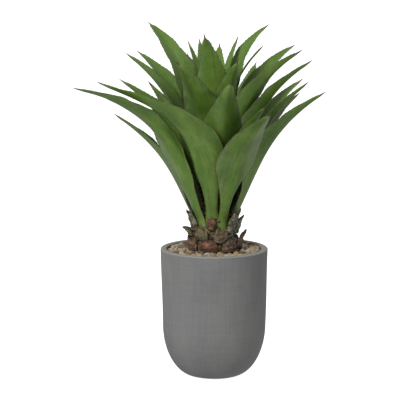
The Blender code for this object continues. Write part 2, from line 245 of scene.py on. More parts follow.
def leaf_finish():
    """Waxy green: paler at the neck, grey bloom in patches, brown along the margin and at the spine,
    with painted shade near the foot of the inner faces and of the leaves inside the rosette.
    """
    leaf = Finish("agave_leaf", {"Specular IOR Level": 0.35})
    across, along, inner = leaf.split(leaf.attribute("blade"))
    horn = leaf.attribute("horn", "Fac")
    shelter = leaf.attribute("shelter", "Fac")
    place = leaf.attribute("place")
    side = abs(across)
    streaks = leaf.clouds(leaf.stretch(place, 420, 9, 1), 1.0, 4)
    fibres = leaf.clouds(leaf.stretch(place, 1500, 40, 1), 1.0, 2)
    patches = leaf.clouds(leaf.stretch(place, 26, 11, 3), 1.0, 3)
    mottle = leaf.clouds(leaf.stretch(place, 130, 90, 3), 1.0, 3)
    green = leaf.ramp(patches, [(0.30, colour(72, 103, 35)), (0.50, colour(91, 122, 45)),
                                (0.70, colour(112, 139, 60))])
    grey = leaf.ramp(mottle, [(0.3, colour(98, 114, 80)), (0.7, colour(120, 132, 104))])
    bloom = leaf.between(leaf.clouds(leaf.stretch(place, 17, 8, 7), 1.0, 2), 0.50, 0.74)
    back = 1 - inner
    bloom = bloom * (0.42 - 0.10 * back) + 0.14 * leaf.between(side, 0.62, 1.0)
    base = leaf.blend(bloom, green, grey)
    base = leaf.blend(inner * 0.5, base, colour(84, 116, 40))
    neck = 1 - leaf.between(along, 0.02, 0.30)
    base = leaf.blend(neck * 0.5, base, colour(110, 136, 58))
    # painted shade: the inner face darkens towards the foot, where the rosette's cup would shade it
    painted_cup_shade = 0.55 * inner * (1 - leaf.between(along, 0.18, 0.52))
    # painted shade: leaves inside the rosette darken towards the foot; on inner faces both shades add up
    # past black
    painted_crowd_shade = 0.62 * shelter * (1 - leaf.between(along, 0.16, 0.50))
    base = leaf.shade(base, (0.30 + 0.66 * streaks + 0.40 * mottle) * (1 - (painted_cup_shade + painted_crowd_shade)))
    scar = 1 - leaf.between(along + 0.05 * streaks + 0.03 * mottle, 0.045, 0.105)
    dry = leaf.ramp(mottle, [(0.35, colour(84, 62, 40)), (0.65, colour(108, 104, 58))])
    base = leaf.blend(scar * 0.8, base, dry)
    margin = leaf.between(side + 0.02 * fibres, 0.968, 0.992)
    base = leaf.blend(margin * 0.8, base, colour(74, 58, 40))
    tip = leaf.between(along + 0.02 * streaks, 0.925, 0.985)
    base = leaf.blend(tip * 0.7, base, colour(104, 96, 62))
    base = leaf.blend(horn, base, leaf.ramp(mottle, [(0.3, colour(44, 34, 30)), (0.7, colour(78, 62, 52))]))
    roughness = 0.40 + 0.16 * bloom + 0.10 * mottle
    height = 0.7 * streaks + 0.25 * fibres + 0.5 * mottle
    return leaf.skin(base, roughness, height, 0.35, 0.0008)


def stump_finish():
    """Dead leaf bases and bark: maroon, olive and grey patches, dark at torn edges, with painted shade
    in the hollows and painted light on the ridges.
    """
    bark = Finish("dry_leaf_base", {"Specular IOR Level": 0.3})
    tint = bark.attribute("tint")
    red, green, grey = bark.split(tint)
    relief, edge, _ = bark.split(bark.attribute("wear"))
    place = bark.attribute("place")
    fibres = bark.clouds(bark.stretch(place, 900, 90, 900), 1.0, 4)
    blots = bark.clouds(place, 85, 4, 0.6)
    spots = bark.clouds(place, 260, 3)
    base = bark.ramp(blots, [(0.25, colour(44, 31, 25)), (0.5, colour(84, 62, 46)),
                             (0.75, colour(120, 96, 70))])
    maroon = bark.ramp(blots, [(0.3, colour(74, 40, 35)), (0.7, colour(138, 88, 74))])
    olive = bark.ramp(spots, [(0.3, colour(74, 84, 44)), (0.7, colour(120, 130, 80))])
    ashen = bark.ramp(spots, [(0.3, colour(88, 92, 80)), (0.7, colour(150, 152, 136))])
    base = bark.blend(red * bark.between(bark.clouds(place, 130, 3), 0.40, 0.56), base, maroon)
    base = bark.blend(green * bark.between(bark.clouds(place, 100, 3), 0.40, 0.56), base, olive)
    base = bark.blend(grey * bark.between(bark.clouds(place, 150, 3), 0.42, 0.58), base, ashen)
    # painted light and shade: darker where the first channel is low (hollows, inner faces), lighter where
    # it is high
    base = bark.shade(base, 0.08 + relief * (0.40 + 0.78 * relief) + 0.30 * fibres)
    base = bark.blend(edge * 0.75, base, colour(58, 44, 36))
    height = fibres * 0.6 + blots * 0.8 + spots * 0.4
    return bark.skin(base, 0.62 + 0.3 * spots, height, 0.7, 0.0016)


def stone_finish():
    """River gravel: each stone has its own tone, with speckles and faint veins; painted shade darkens
    the lower layers and the grit.
    """
    stone = Finish("river_gravel", {"Specular IOR Level": 0.4})
    tone, warmth, lift = stone.split(stone.attribute("stone"))
    place = stone.attribute("place")
    speckle = stone.clouds(place, 900, 3)
    veins = stone.clouds(stone.stretch(place, 60, 60, 300), 1.0, 4, 0.6, 0.8)
    base = stone.ramp(tone, [(0.00, colour(96, 80, 66)), (0.16, colour(150, 128, 104)),
                             (0.34, colour(196, 176, 148)), (0.52, colour(214, 198, 172)),
                             (0.70, colour(222, 212, 192)), (0.84, colour(166, 156, 140)),
                             (1.00, colour(234, 226, 210))])
    base = stone.blend(warmth * 0.60, base, colour(188, 146, 88))
    base = stone.blend(stone.between(veins, 0.52, 0.75) * 0.4, base, colour(116, 92, 70))
    # painted shade: the third channel darkens the stones of the lower layers and the grit
    base = stone.shade(base, (0.40 + 0.24 * speckle) * (0.30 + 0.70 * lift))
    return stone.skin(base, 0.62 + 0.25 * speckle, speckle + 0.8 * veins, 0.5, 0.0008)


def clay_finish():
    """Grey cast fibre clay with faint linen-like streaks both ways and a few pin holes, painted dark as
    painted shade inside them.
    """
    clay = Finish("fibre_clay", {"Specular IOR Level": 0.28})
    place = clay.attribute("place")
    rim, inside, _ = clay.split(clay.attribute("zone"))
    upright = clay.clouds(clay.stretch(place, 190, 190, 7), 1.0, 4, 0.7)
    level = clay.clouds(clay.stretch(place, 11, 11, 230), 1.0, 4, 0.7)
    broad = clay.clouds(clay.stretch(place, 9, 9, 5), 1.0, 3)
    sand = clay.clouds(place, 1400, 3)
    pits = clay.cells(place, 62)
    pit = 1 - clay.between(pits + 0.05 * sand, 0.040, 0.075)
    base = clay.ramp(broad, [(0.3, colour(104, 104, 104)), (0.7, colour(114, 114, 113))])
    base = clay.blend(rim * 0.8, base, colour(137, 135, 130))
    base = clay.blend(inside * 0.4, base, colour(128, 122, 110))
    base = clay.shade(base, 0.62 + 0.36 * upright + 0.28 * level + 0.10 * sand)
    # painted shade: the pin holes painted dark grey
    base = clay.blend(pit * 0.8, base, colour(52, 52, 52))
    height = 0.5 * upright + 0.4 * level + 0.35 * sand - pit * 2.0
    return clay.skin(base, 0.70 + 0.16 * sand, height, 0.4, 0.0012)


def mix_finish():
    """Dark potting mix with bark crumbs."""
    soil = Finish("potting_mix", {"Specular IOR Level": 0.2})
    place = soil.node("TexCoord", {}, {}, "Object")
    crumbs = soil.cells(place, 240)
    grain = soil.clouds(place, 520, 4, 0.6)
    base = soil.ramp(grain, [(0.3, colour(30, 22, 17)), (0.6, colour(62, 48, 37)),
                             (0.8, colour(98, 80, 60))])
    base = soil.shade(base, 0.6 + 1.2 * crumbs)
    return soil.skin(base, 0.85 + 0.12 * grain, crumbs + grain, 0.9, 0.003)


# ---------------------------------------------------------------- meshes

def set_attributes(mesh, attributes):
    """Gives each point of a mesh the numbers that its material reads."""
    for key, values in attributes.items():
        values = np.asarray(values, np.float32)
        if values.ndim == 1:
            mesh.attributes.new(key, "FLOAT", "POINT").data.foreach_set("value", values)
        else:
            mesh.attributes.new(key, "FLOAT_VECTOR", "POINT").data.foreach_set("vector", values.ravel())


def make_piece(name, points, faces, material, attributes):
    """A smooth piece that rides on the plant, with the attributes that its material reads."""
    mesh = bpy.data.meshes.new(name)
    mesh.from_pydata([tuple(point) for point in points], [], faces)
    mesh.update()
    sketch = bmesh.new()
    sketch.from_mesh(mesh)
    bmesh.ops.recalc_face_normals(sketch, faces=sketch.faces)
    sketch.to_mesh(mesh)
    sketch.free()
    mesh.shade_smooth()
    set_attributes(mesh, attributes)
    mesh.materials.append(material)
    piece = bpy.data.objects.new(name, mesh)
    bpy.context.scene.collection.objects.link(piece)
    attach(piece, "root")
    return piece


def ring_faces(rows, size, start=0):
    """Faces between rows of rings that follow each other in the list of points."""
    return [(start + row * size + i, start + row * size + (i + 1) % size,
             start + (row + 1) * size + (i + 1) % size, start + (row + 1) * size + i)
            for row in range(rows - 1) for i in range(size)]


def leaf_rings(node):
    """Mid line, half width, lift of the margins and half thickness of a leaf's solid, foot to tip."""
    mesh = NODES[node].data
    points = np.zeros(len(mesh.vertices) * 3)
    mesh.vertices.foreach_get("co", points)
    spots, place = np.unique(np.round(points.reshape(-1, 3), 6), axis=0, return_inverse=True)
    place = place.reshape(-1)
    beside = [set() for _ in spots]
    for edge in mesh.edges:
        a, b = (place[i] for i in edge.vertices)
        if a != b:
            beside[a].add(b)
            beside[b].add(a)
    root = np.array((0.0, 0.0, spots[:, 2].min()))
    tip = int(np.argmax(np.linalg.norm(spots - root, axis=1)))
    levels = [{tip}]
    seen = {tip}
    while len(seen) < len(spots):
        levels.append({b for a in levels[-1] for b in beside[a]} - seen)
        seen |= levels[-1]
    before = None
    shape = []
    for level in reversed(levels[1:]):
        ring = spots[sorted(level)]
        gaps = np.linalg.norm(ring[:, None] - ring[None], axis=2)
        a, b = np.unravel_index(np.argmax(gaps), gaps.shape)
        across = ring[b] - ring[a]
        if before is None:
            centre = ring.mean(0)
            before = np.array((-centre[1], centre[0], 0.0))
        if across @ before < 0:
            a, b, across = b, a, -across
        before = across
        margins = (ring[a] + ring[b]) / 2
        middle = sorted((i for i in range(len(ring)) if i not in (a, b)),
                        key=lambda i: abs((ring[i] - margins) @ across))[:2]
        mid = ring[middle].mean(0)
        lift = margins - mid
        outer, inner = sorted(middle, key=lambda i: (ring[i] - mid) @ lift)
        shape.append((mid, across / 2, lift, (ring[inner] - ring[outer]) / 2))
    still = np.zeros(3)
    shape.append((spots[tip], still, still, still))
    return np.array(shape)


def sheath(foot):
    """Two rings that carry a leaf's foot on down the trunk, wider and thinner as they go."""
    mid, half, lift, thick = foot
    outward = mid * (1, 1, 0) / np.linalg.norm(mid[:2])
    rings = []
    for share in (1.0, 0.5):
        low = mid - (0, 0, SHEATH_LENGTH * share) + outward * 0.0012 * share
        rings.append((low, half * (1 + 0.35 * share), lift * (1 + 0.9 * share), thick * (1 - 0.6 * share)))
    return np.array(rings)


def section_shares(count):
    """Places across a face, closer together towards its margins."""
    return np.sin(np.linspace(-math.pi / 2, math.pi / 2, count))


# Where a blade swells or its margin runs out or in: place across and along the leaf, spread across and
# along, how far the face moves inward, and how much wider the blade is there (less than 0: narrower).
BULGES = {"leaf_08": ((-1.0, 0.44, 0.5, 0.15, 0.006, -0.021), (0.3, 0.62, 0.5, 0.16, -0.005, 0.0),
                      (-0.55, 0.30, 0.20, 0.22, 0.005, 0.0), (0.15, 0.30, 0.22, 0.20, -0.003, 0.0)),
          "leaf_01": ((-1.0, 0.36, 0.6, 0.16, 0.0, 0.012), (1.0, 0.47, 0.7, 0.16, -0.006, -0.043)),
          "leaf_03": ((1.0, 0.50, 0.7, 0.16, 0.0, -0.034),),
          "leaf_02": ((0.5, 0.40, 0.4, 0.14, 0.005, 0.004), (-0.4, 0.30, 0.3, 0.10, -0.004, 0.0),
                      (1.0, 0.26, 0.6, 0.12, 0.0, -0.018))}


def build_blade(node, index, material):
    """A leaf over its solid: a soft fold along its middle, wavy thorned margins, and a horny spine."""
    shape = leaf_rings(node)
    if shape[0, 0, 2] < SHEATH_TOP:
        shape = np.concatenate((sheath(shape[0]), shape))
    steps = np.linalg.norm(np.diff(shape[:, 0], axis=0), axis=1)
    knots = np.concatenate(([0.0], np.cumsum(steps)))
    length = knots[-1]
    chance = random.Random(index * 11 + 3)
    share = np.linspace(0, 1, BLADE_ROWS)
    arcs = length * (1 - (1 - share) ** 1.25)
    mid, half, lift, thick = (spline(knots, shape[:, i], arcs) for i in range(4))
    reach = length - arcs
    half_width = np.linalg.norm(half, axis=1)
    side = half / np.maximum(half_width, 1e-9)[:, None]
    side[-1] = side[-2]
    depth = np.linalg.norm(thick, axis=1)
    up = thick / np.maximum(depth, 1e-9)[:, None]
    up[-1] = up[-2]
    narrowed = mix(SPINE_RADIUS, half_width, smooth(reach, SPINE_LENGTH * 0.8, TAPER_LENGTH))
    half_width = np.minimum(half_width, narrowed)
    spine = SPINE_RADIUS * np.clip(reach / SPINE_LENGTH, 0, 1) ** 0.8
    half_width = np.where(reach < SPINE_LENGTH, spine, half_width)
    depth = np.minimum(np.maximum(depth, SPINE_RADIUS), half_width)
    rise = np.linalg.norm(lift, axis=1)
    kept = np.clip(half_width / np.maximum(np.linalg.norm(half, axis=1), 1e-6), 0, 1)
    lift = lift / np.maximum(rise, 1e-9)[:, None] * (rise * kept)[:, None]
    phase = [chance.uniform(0, math.tau) for _ in range(4)]
    sharp = chance.uniform(1.15, 1.4)
    calm = smooth(arcs, 0.06 * length, 0.35 * length) * smooth(reach, 0.03, 0.12)
    shares = section_shares(BLADE_SPAN)
    around = [(u, -1) for u in shares] + [(u, 1) for u in reversed(shares[1:-1])]
    size = len(around)
    points = np.zeros((BLADE_ROWS, size, 3))
    blade = np.zeros((BLADE_ROWS, size, 3))
    place = np.zeros((BLADE_ROWS, size, 3))
    for i, (u, face) in enumerate(around):
        which = 0 if u < 0 else 1
        wave = np.sin(arcs * math.tau / WAVE_LENGTH + phase[which]) * 0.7
        wave += np.sin(arcs * math.tau / (WAVE_LENGTH * 0.43) + phase[which + 2]) * 0.3
        bend = WAVE_HEIGHT * abs(u) ** 3 * calm * wave
        body = depth * (1 - abs(u) ** 2.2) * face
        swell = np.zeros(BLADE_ROWS)
        wider = np.zeros(BLADE_ROWS)
        for centre, start, spread, stretch, out, width in BULGES.get(node, ()):
            near = np.exp(-((u - centre) / spread) ** 2 - ((arcs / length - start) / stretch) ** 2)
            swell += out * near
            wider += width * near
        points[:, i] = mid + side * (u * (half_width + wider))[:, None] + lift * abs(u) ** sharp
        points[:, i] += up * (body + bend - swell)[:, None]
        inner = np.full(BLADE_ROWS, (face + 1) / 2)
        blade[:, i] = np.stack((np.full(BLADE_ROWS, u), arcs / length, inner), 1)
        place[:, i] = np.stack((u * half_width, arcs, np.full(BLADE_ROWS, index * 0.73 + face * 0.1)), 1)
    blade[:, 0, 2] = 0.5
    blade[:, BLADE_SPAN - 1, 2] = 0.5
    horn = np.repeat(smooth(reach, SPINE_LENGTH * 1.25, SPINE_LENGTH * 0.85)[:, None], size, 1)
    faces = ring_faces(BLADE_ROWS, size)
    faces.append(tuple(range(size)))
    points, blade, place, horn = (a.reshape(-1, *a.shape[2:]) for a in (points, blade, place, horn))
    thorns = []
    for column in (0, BLADE_SPAN - 1):
        margin = points.reshape(BLADE_ROWS, size, 3)[:, column]
        out = 1 if column else -1
        at = 0.05 * length + chance.uniform(0, THORN_PITCH)
        while at < length - SPINE_LENGTH * 1.4:
            root = np.array([np.interp(at, arcs, margin[:, k]) for k in range(3)])
            ahead = np.array([np.interp(at + 0.002, arcs, margin[:, k]) for k in range(3)]) - root
            ahead /= np.linalg.norm(ahead)
            outward = np.array([np.interp(at, arcs, side[:, k]) for k in range(3)]) * out
            face = np.cross(ahead, outward)
            thorns.append((root, ahead, outward, face, chance.uniform(0.75, 1.2), at))
            at += THORN_PITCH * chance.uniform(0.8, 1.2)
    extra = []
    for root, ahead, outward, face, scale, at in thorns:
        start = len(points) + len(extra)
        base = root - outward * 0.0006
        wide = ahead * THORN_WIDTH / 2 * scale
        high = face * 0.0007
        extra += [base - wide, base + high, base + wide, base - high,
                  root + outward * THORN_LENGTH * scale + ahead * 0.0006]
        faces += [(start + i, start + (i + 1) % 4, start + 4) for i in range(4)]
    if extra:
        count = len(extra)
        points = np.concatenate((points, extra))
        blade = np.concatenate((blade, np.tile((1.0, 0.5, 0.5), (count, 1))))
        place = np.concatenate((place, extra))
        horn = np.concatenate((horn, np.full(count, 0.8)))
    # painted shade mask: 1 for the leaves after the first eight, which stand inside the rosette
    shelter = np.full(len(points), float(index > 7))
    piece = make_piece(node, points, faces, material,
                       {"blade": blade, "place": place, "horn": horn, "shelter": shelter})
    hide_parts(node)
    return piece


# tint of each stump: red, green and grey
STUMP_TINTS = {
    "leaf_stub_01": (0.3, 0.7, 0.5), "leaf_stub_02": (0.0, 1.0, 0.6), "leaf_stub_03": (0.9, 0.1, 0.1),
    "leaf_stub_04": (0.2, 0.6, 1.0), "leaf_stub_05": (0.1, 0.6, 0.9), "leaf_stub_06": (0.6, 0.2, 0.3),
    "leaf_stub_07": (0.7, 0.7, 0.1), "leaf_stub_08": (1.0, 0.5, 0.3), "leaf_stub_09": (1.1, 0.3, 0.1),
    "leaf_stub_10": (1.0, 0.1, 0.0), "leaf_stub_11": (0.9, 0.2, 0.4),
}


# the stumps that stand taller than their solids, by how much
STUMP_GROWTH = {"leaf_stub_01": 1.22, "leaf_stub_02": 1.15, "leaf_stub_04": 1.42, "leaf_stub_05": 1.30,
                "leaf_stub_06": 1.10}


def build_stump(node, index, material):
    """An old leaf base: ridged, curling, with a torn upper edge."""
    shape = leaf_rings(node)
    shape[:, 0] = mix(shape[0, 0], shape[:, 0], STUMP_GROWTH.get(node, 1.0))
    steps = np.linalg.norm(np.diff(shape[:, 0], axis=0), axis=1)
    knots = np.concatenate(([0.0], np.cumsum(steps)))
    length = knots[-1]
    chance = random.Random(index * 17 + 5)
    rows, span = 26, 17
    shares = section_shares(span)
    around = [(u, -1) for u in shares] + [(u, 1) for u in reversed(shares[1:-1])]
    size = len(around)
    points = np.zeros((rows, size, 3))
    wear = np.zeros((rows, size, 3))
    place = np.zeros((rows, size, 3))
    lobes = [chance.uniform(0, math.tau) for _ in range(3)]
    for i, (u, face) in enumerate(around):
        torn = 0.5 + 0.22 * math.sin(u * 4.2 + lobes[0]) + 0.16 * math.sin(u * 9.5 + lobes[1])
        torn += 0.20 * math.sin(u * 21 + lobes[2])
        end = length * mix(0.62, 1.0, min(max(torn, 0.0), 1.0)) * (1 - 0.10 * abs(u) ** 2)
        share = np.linspace(0, 1, rows)
        arcs = share * end
        mid, half, lift, thick = (spline(knots, shape[:, k], arcs * 0.86) for k in range(4))
        ahead = spline(knots, shape[:, 0], np.minimum(arcs, length * 0.999))
        mid = mix(mid, ahead, 0.6)
        depth = np.sqrt(np.clip(1 - share**6, 0.0, 1))[:, None]
        ridge = 1 + 0.16 * math.sin(u * 15 + lobes[2]) + 0.10 * math.sin(u * 31 + lobes[1])
        points[:, i] = mid + half * u * 1.04 + lift * abs(u) ** 1.7
        bulk = ridge * STUMP_BULK if face < 0 else 1.0
        points[:, i] += thick * ((1 - u**4) * depth[:, 0] * face * bulk)[:, None]
        # first channel is painted light: the outer face lighter towards the top and on its ridges, the
        # inner face darker
        wear[:, i] = np.stack((0.45 + 0.4 * share * (face < 0) + 0.35 * (ridge - 1),
                               smooth(share, 0.80, 1.0), np.full(rows, 0.5)), 1)
        place[:, i] = np.stack((np.full(rows, u * 0.015 + index), arcs, np.full(rows, face * 0.004)), 1)
    points = points.reshape(-1, 3)
    outward = points - np.array((0, 0, 1)) * points[:, 2:]
    outward /= np.linalg.norm(outward, axis=1)[:, None]
    bumps = rough(points, 95, index, 5)
    points += outward * (bumps * 0.0034)[:, None]
    wear = wear.reshape(-1, 3)
    wear[:, 0] += 0.25 * bumps
    faces = ring_faces(rows, size)
    faces.append(tuple(range(size)))
    last = (rows - 1) * size
    for i in range(span - 1):
        opposite = (size - i) % size
        near = (size - i - 1) % size
        quad = [last + i, last + i + 1, last + near, last + opposite]
        faces.append(tuple(dict.fromkeys(quad)))
    tint = np.tile(STUMP_TINTS.get(node, (0.5, 0.4, 0.4)), (len(points), 1))
    attributes = {"tint": tint, "wear": wear, "place": place.reshape(-1, 3)}
    piece = make_piece(node, points, faces, material, attributes)
    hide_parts(node)
    return piece


def shred(chance, height, radius):
    """A torn flake of an old leaf base that stands on the trunk: its points and faces."""
    azimuth = chance.uniform(0, math.tau)
    length = chance.uniform(0.007, 0.019)
    width = chance.uniform(0.004, 0.011)
    lean = math.radians(chance.uniform(4, 42))
    curl = math.radians(chance.uniform(-10, 40))
    skew = chance.uniform(-0.4, 0.4)
    rows, span = 5, 5
    ends = [chance.uniform(0.6, 1.0) for _ in range(span)]
    columns = [(k, 1) for k in range(span)] + [(k, -1) for k in reversed(range(span))]
    outward = np.array((math.sin(azimuth), -math.cos(azimuth), 0.0))
    level = np.array((math.cos(azimuth), math.sin(azimuth), 0.0))
    up = np.array((0.0, 0.0, 1.0))
    spots = []
    for row in range(rows):
        share = row / (rows - 1)
        for column, face in columns:
            u = column / (span - 1) * 2 - 1
            along = share * ends[column] * length
            turn = lean + curl * share
            narrow = 1 - 0.45 * share**2
            spot = outward * (radius - 0.0015 + along * math.sin(turn) - 0.12 * width * u * u)
            spot = spot + up * (height + along * math.cos(turn))
            spot = spot + level * (u * width / 2 * narrow + skew * along)
            spots.append(spot + outward * (0.0008 * face * (1 - 0.7 * share)))
    size = len(columns)
    faces = ring_faces(rows, size) + [tuple(range(size)), tuple(range((rows - 1) * size, rows * size))]
    return np.array(spots), faces


def build_trunk(material):
    """The trunk: rows of worn leaf bases that overlap upwards, over the solid's outline."""
    mesh = NODES["trunk"].data
    outline = sorted({(round(v.co.z, 5), round(math.hypot(v.co.x, v.co.y), 5)) for v in mesh.vertices})
    heights = np.array([z for z, _ in outline])
    radii = np.array([r for _, r in outline])
    steps, rows = 180, 150
    bottom, top = GRAVEL_TOP - 0.016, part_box("trunk")[1][2]
    turns = np.arange(steps) * math.tau / steps
    points, wear, place, tint = [], [], [], []
    row_height, per_row = 0.0125, 13
    for z in np.linspace(bottom, top, rows):
        radius = np.interp(z, heights, radii)
        tier = (z - bottom) / row_height
        row = math.floor(tier)
        up = tier - row
        shift = 0.5 * (row % 2) + 0.13 * row
        across = ((turns / math.tau * per_row + shift) % 1) * 2 - 1
        scale = (1 - np.abs(across) ** 2.5) * (smooth(up, 0.0, 0.75) - smooth(up, 0.86, 1.0)) * BASE_RELIEF
        strong = 1 - 0.7 * smooth(z, bottom + 0.075, bottom + 0.10)
        spots = np.stack((np.sin(turns) * radius, -np.cos(turns) * radius, np.full(steps, z)), 1)
        bumps = rough(spots, 85, 1.0, 5)
        grow = radius + scale * strong + bumps * 0.0036 * strong
        points.append(np.stack((np.sin(turns) * grow, -np.cos(turns) * grow, np.full(steps, z)), 1))
        # painted shade: the first channel follows the rows of leaf bases and the bumps, darker between them
        wear.append(np.stack((np.clip(0.25 + scale / BASE_RELIEF * 0.6 + 0.25 * bumps, 0, 1.2),
                              np.zeros(steps), np.zeros(steps)), 1))
        place.append(spots)
        high = smooth(z, bottom + 0.035, bottom + 0.070)
        right = smooth(np.sin(turns), 0.2, 0.8) * (np.cos(turns) > -0.3)
        red = 1 - 0.7 * high - 0.3 * right
        green = np.full(steps, 0.15 + 0.85 * high)
        tint.append(np.stack((red, green, 0.2 + 0.7 * right), 1))
    faces = ring_faces(rows, steps)
    faces += [tuple(range(steps)), tuple(range((rows - 1) * steps, rows * steps))]
    chance = random.Random(77)
    for _ in range(SHREDS):
        start = sum(len(part) for part in points)
        z = chance.uniform(GRAVEL_TOP - 0.002, SHRED_TOP)
        spots, sides = shred(chance, z, np.interp(z, heights, radii))
        faces += [tuple(start + i for i in side) for side in sides]
        points.append(spots)
        place.append(spots)
        fresh = smooth(z, GRAVEL_TOP + 0.015, SHRED_TOP)
        wear.append(np.tile((chance.uniform(0.35, 1.1), chance.uniform(0, 0.5), 0.0), (len(spots), 1)))
        right = float(spots[0, 0] > 0.012) * chance.uniform(0.2, 1.2)
        red = chance.uniform(0.2, 1.2) - 0.6 * fresh
        green = chance.uniform(0, 0.7) + 0.4 * fresh
        tint.append(np.tile((red, green, right), (len(spots), 1)))
    attributes = {"wear": np.concatenate(wear), "place": np.concatenate(place),
                  "tint": np.concatenate(tint)}
    piece = make_piece("trunk", np.concatenate(points), faces, material, attributes)
    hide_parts("trunk")
    return piece


def build_spear(material):
    """The young leaves still rolled together: one leaf wound over the next, with a horny point."""
    low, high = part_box("leaf_spear")
    reach = (high[0] - low[0]) / 2
    rows, steps = 70, 48
    points, blade, place, horn = [], [], [], []
    for share in np.linspace(0, 1, rows):
        z = mix(low[2], high[2], share)
        girth = np.interp(share, (0, 0.25, 0.5, 0.75, 0.92, 0.97, 1), (0.7, 1.0, 0.9, 0.55, 0.2, 0.1, 0.01))
        turn = np.arange(steps) * math.tau / steps
        wrap = ((turn / math.tau + share * 1.4) * 2) % 1
        grow = reach * girth * (0.86 + 0.14 * wrap)
        points.append(np.stack((np.sin(turn) * grow, -np.cos(turn) * grow, np.full(steps, z)), 1))
        blade.append(np.stack((wrap * 2 - 1, np.full(steps, 0.3 + 0.7 * share), np.zeros(steps)), 1))
        place.append(np.stack((turn * 0.008, np.full(steps, share * 0.23), np.full(steps, 31.0)), 1))
        horn.append(np.full(steps, float(smooth(share, 0.92, 0.95))))
    faces = ring_faces(rows, steps)
    faces += [tuple(range(steps)), tuple(range((rows - 1) * steps, rows * steps))]
    attributes = {"blade": np.concatenate(blade), "place": np.concatenate(place),
                  "horn": np.concatenate(horn)}
    piece = make_piece("leaf_spear", np.concatenate(points), faces, material, attributes)
    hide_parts("leaf_spear")
    return piece


def wall_radius(height):
    """Outer radius of the planter at a height."""
    if height >= BOWL_HEIGHT:
        return mix(WAIST_RADIUS, RIM_RADIUS, (height - BOWL_HEIGHT) / (PLANTER_HEIGHT - BOWL_HEIGHT))
    drop = (BOWL_HEIGHT - height) / BOWL_HEIGHT
    return mix(BASE_RADIUS, WAIST_RADIUS, math.sqrt(max(1 - drop * drop, 0)))


def bore_radius(height):
    """Inner radius of the planter at a height above its floor."""
    if height >= BOWL_HEIGHT:
        return wall_radius(height) - WALL
    drop = min((BOWL_HEIGHT - height) / (BOWL_HEIGHT - FLOOR), 1.0)
    return mix(BASE_RADIUS, WAIST_RADIUS, math.sqrt(1 - drop * drop)) - WALL


def build_planter(material):
    """The planter's cast shell with a softened lip and base, and its drain holes."""
    quarter = [math.radians(90 * i / 22) for i in range(23)]
    bowl_in = [mix(FLOOR, BOWL_HEIGHT, 1 - math.cos(a)) for a in quarter]
    bowl_out = [mix(0.0, BOWL_HEIGHT, 1 - math.cos(a)) for a in quarter]
    upper = np.linspace(BOWL_HEIGHT, PLANTER_HEIGHT - LIP_ROUNDING, 14)[1:]
    upper = np.insert(upper, -1, (PLANTER_HEIGHT - 0.008, PLANTER_HEIGHT - 0.005))
    inside = [(bore_radius(z), z) for z in bowl_in] + [(bore_radius(z), z) for z in upper]
    outside = [(wall_radius(z), z) for z in (*reversed(upper), *reversed(bowl_out))]
    centres = ((RIM_RADIUS - WALL + LIP_ROUNDING, 180, 90), (RIM_RADIUS - LIP_ROUNDING, 90, 0))
    lip = []
    for centre, start, end in centres:
        for turn in np.linspace(start, end, 7):
            angle = math.radians(turn)
            lip.append((centre + LIP_ROUNDING * math.cos(angle),
                        PLANTER_HEIGHT - LIP_ROUNDING * (1 - math.sin(angle))))
    under = [(BASE_RADIUS - 0.0012, 0.0), (BASE_RADIUS - 0.012, 0.0), (0.036, 0.0), (0.012, 0.0)]
    floor = [(0.012, FLOOR), (0.030, FLOOR)]
    outline = floor + inside + lip + outside[:-1] + [(BASE_RADIUS + 0.0002, 0.0008)] + under
    turns = np.arange(PLANTER_STEPS) * math.tau / PLANTER_STEPS
    points = []
    for i, (radius, z) in enumerate(outline):
        uneven = 0.00025 * np.sin(3 * turns + z * 21) + 0.0002 * np.sin(5 * turns - z * 37)
        on_wall = radius > BASE_RADIUS * 1.1 and i > len(floor) + len(inside)
        grow = radius + (uneven - 0.0004 if on_wall else 0.0)
        points.append(np.stack((np.sin(turns) * grow, -np.cos(turns) * grow, np.full(PLANTER_STEPS, z)), 1))
    rows = len(outline)
    points = np.concatenate(points)
    faces = ring_faces(rows, PLANTER_STEPS)
    faces += [tuple(range(PLANTER_STEPS)), tuple(range((rows - 1) * PLANTER_STEPS, rows * PLANTER_STEPS))]
    piece = make_piece("planter", points, faces, material, {})
    drills = []
    for i in range(3):
        angle = math.tau * i / 3
        spot = (DRAIN_CIRCLE * math.sin(angle), -DRAIN_CIRCLE * math.cos(angle), FLOOR / 2)
        bpy.ops.mesh.primitive_cylinder_add(vertices=40, radius=DRAIN_RADIUS, depth=FLOOR * 2,
                                            location=spot)
        drill = bpy.context.active_object
        cut = piece.modifiers.new("drain", "BOOLEAN")
        cut.object = drill
        drills.append(drill)
    shaped = bpy.data.meshes.new_from_object(piece.evaluated_get(bpy.context.evaluated_depsgraph_get()))
    piece.modifiers.clear()
    piece.data = shaped
    place = np.array([vertex.co[:] for vertex in shaped.vertices])
    reach = np.hypot(place[:, 0], place[:, 1])
    walls = np.array([wall_radius(z) for z in place[:, 2]])
    zone = np.stack((smooth(place[:, 2], PLANTER_HEIGHT - 0.0030, PLANTER_HEIGHT - 0.0008),
                     reach < walls - WALL * 0.6, np.zeros(len(place))), 1)
    set_attributes(shaped, {"place": place, "zone": zone})
    for drill in drills:
        bpy.data.objects.remove(drill)
    edges = piece.modifiers.new("edges", "EDGE_SPLIT")
    edges.split_angle = math.radians(50)
    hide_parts("planter")
    return piece


# ---------------------------------------------------------------- gravel

